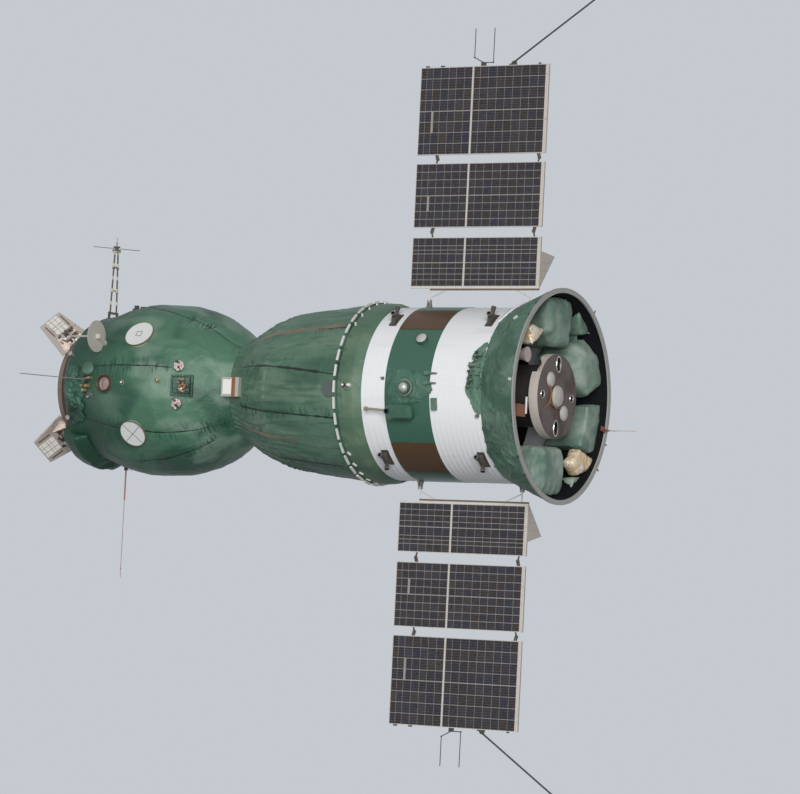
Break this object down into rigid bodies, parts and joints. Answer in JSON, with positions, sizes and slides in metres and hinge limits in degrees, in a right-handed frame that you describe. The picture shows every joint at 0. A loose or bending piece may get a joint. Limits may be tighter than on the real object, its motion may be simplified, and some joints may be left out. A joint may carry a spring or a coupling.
{
  "type": "crewed spacecraft",
  "caption": "Crewed three-module spacecraft with a petalled docking guide, a waisted blanket-covered hull, white radiators, an open engine bay and folding solar wings.",
  "frame": {"origin": "on the long axis, at the reference plane of the aft ring", "axes": "+X along the hull towards the engine bay, +Z along the upper wing, +Y towards the side the wings fold to"},
  "size_m": [8.0412, 2.72, 10.4456],
  "materials": {
    "hull_blanket": "quilted green insulation cloth, satin",
    "dark_blanket": "crumpled dark green insulation cloth",
    "radiator_white": "matt white radiator paint",
    "brown_cover": "satin brown paint",
    "band_green": "satin green paint",
    "bare_metal": "satin bare metal",
    "bright_metal": "bright bare metal",
    "grey_metal": "matt grey paint",
    "white_paint": "matt white paint",
    "rod_steel": "brushed",
    "olive_paint": "olive paint with pale bands",
    "cell_panel": "dark solar cells in a light frame",
    "porthole_glass": "polished pane",
    "rim_red": "red-brown paint",
    "gold_foil": "crumpled gold and white foil",
    "clip_white": "matt white paint",
    "drum_metal": "heat-stained metal"
  },
  "bodies": {
    "hull": {"aft_probe": "bare_metal", "aft_radiator": "radiator_white", "aft_ring": "bare_metal", "aft_skirt": "dark_blanket", "attitude_sensor": "grey_metal", "attitude_thrusters": "grey_metal", "band_fittings": "bare_metal", "band_sensors": "bare_metal", "bay_fittings": "rod_steel", "brown_panels": "brown_cover", "collar_blanket": "hull_blanket", "descent_module": "hull_blanket", "docking_collar": "grey_metal", "docking_target": "grey_metal", "engine_drum": "drum_metal", "engine_nozzles": "rod_steel", "equipment_cover": "hull_blanket", "foil_packs": "gold_foil", "fore_radiator": "radiator_white", "half_plate": "bare_metal", "hatch_bracket": "bare_metal", "hull_fittings": "grey_metal", "hull_plates": "white_paint", "instrument_band": "band_green", "ion_sensor": "band_green", "lacing_clips": "clip_white", "lacing_ring": "dark_blanket", "mast_bracket": "olive_paint", "nozzle_covers": "white_paint", "orbital_module": "hull_blanket", "periscope": "grey_metal", "porthole_glass": "porthole_glass", "porthole_rim": "rim_red", "rod_antenna": "grey_metal", "rod_sleeves": "bare_metal", "root_brackets": "bare_metal", "service_core": "grey_metal", "skirt_fittings": "grey_metal", "skirt_lamps": "white_paint", "tank_blankets": "dark_blanket", "transfer_section": "hull_blanket", "whip_bracket": "bare_metal"},
    "guide": {"guide_ring": "bare_metal", "guide_petals": "bright_metal", "guide_rods": "rod_steel"},
    "hatch": {"tunnel_hatch": "grey_metal"},
    "mast": {"mast": "olive_paint"},
    "whip": {"whip": "grey_metal"},
    "upper_inner": {"upper_root_frame": "white_paint", "upper_inner_panel": "cell_panel", "upper_gusset": "grey_metal"},
    "upper_middle": {"upper_middle_panel": "cell_panel"},
    "upper_outer": {"upper_outer_panel": "cell_panel", "upper_tip_antennas": "grey_metal"},
    "lower_inner": {"lower_root_frame": "white_paint", "lower_inner_panel": "cell_panel", "lower_gusset": "grey_metal"},
    "lower_middle": {"lower_middle_panel": "cell_panel"},
    "lower_outer": {"lower_outer_panel": "cell_panel", "lower_tip_antennas": "grey_metal"}
  },
  "joints": [
    {"name": "guide_ring_slide", "type": "slide", "parent": "hull", "child": "guide", "axis": [-1, 0, 0], "range_m": [0, 0.22]},
    {"name": "tunnel_hatch_hinge", "type": "hinge", "parent": "hull", "child": "hatch", "pos_m": [-6.744, 0.49, 0], "axis": [0, 0, 1], "range_deg": [0, 100]},
    {"name": "mast_fold", "type": "hinge", "parent": "hull", "child": "mast", "pos_m": [-6.825, 0, 1.02525], "axis": [0, 1, 0], "range_deg": [0, 70]},
    {"name": "whip_fold", "type": "hinge", "parent": "hull", "child": "whip", "pos_m": [-6.482, 0, -1.066], "axis": [0, -1, 0], "range_deg": [0, 75]},
    {"name": "upper_wing_root", "type": "hinge", "parent": "hull", "child": "upper_inner", "pos_m": [0, 0, 1.2], "axis": [-1, 0, 0], "range_deg": [0, 90]},
    {"name": "upper_wing_middle", "type": "hinge", "parent": "upper_inner", "child": "upper_middle", "pos_m": [0, -0.03, 2.0795], "axis": [1, 0, 0], "range_deg": [0, 180]},
    {"name": "upper_wing_outer", "type": "hinge", "parent": "upper_middle", "child": "upper_outer", "pos_m": [0, 0.03, 3.025], "axis": [-1, 0, 0], "range_deg": [0, 180]},
    {"name": "lower_wing_root", "type": "hinge", "parent": "hull", "child": "lower_inner", "pos_m": [0, 0, -1.2], "axis": [1, 0, 0], "range_deg": [0, 90]},
    {"name": "lower_wing_middle", "type": "hinge", "parent": "lower_inner", "child": "lower_middle", "pos_m": [0, -0.03, -2.0795], "axis": [-1, 0, 0], "range_deg": [0, 180]},
    {"name": "lower_wing_outer", "type": "hinge", "parent": "lower_middle", "child": "lower_outer", "pos_m": [0, 0.03, -3.025], "axis": [1, 0, 0], "range_deg": [0, 180]}
  ],
  "couplings": [
    {"joint": "upper_wing_middle", "follows": "upper_wing_root", "ratio": 2},
    {"joint": "upper_wing_outer", "follows": "upper_wing_root", "ratio": 2},
    {"joint": "lower_wing_middle", "follows": "lower_wing_root", "ratio": 2},
    {"joint": "lower_wing_outer", "follows": "lower_wing_root", "ratio": 2}
  ]
}
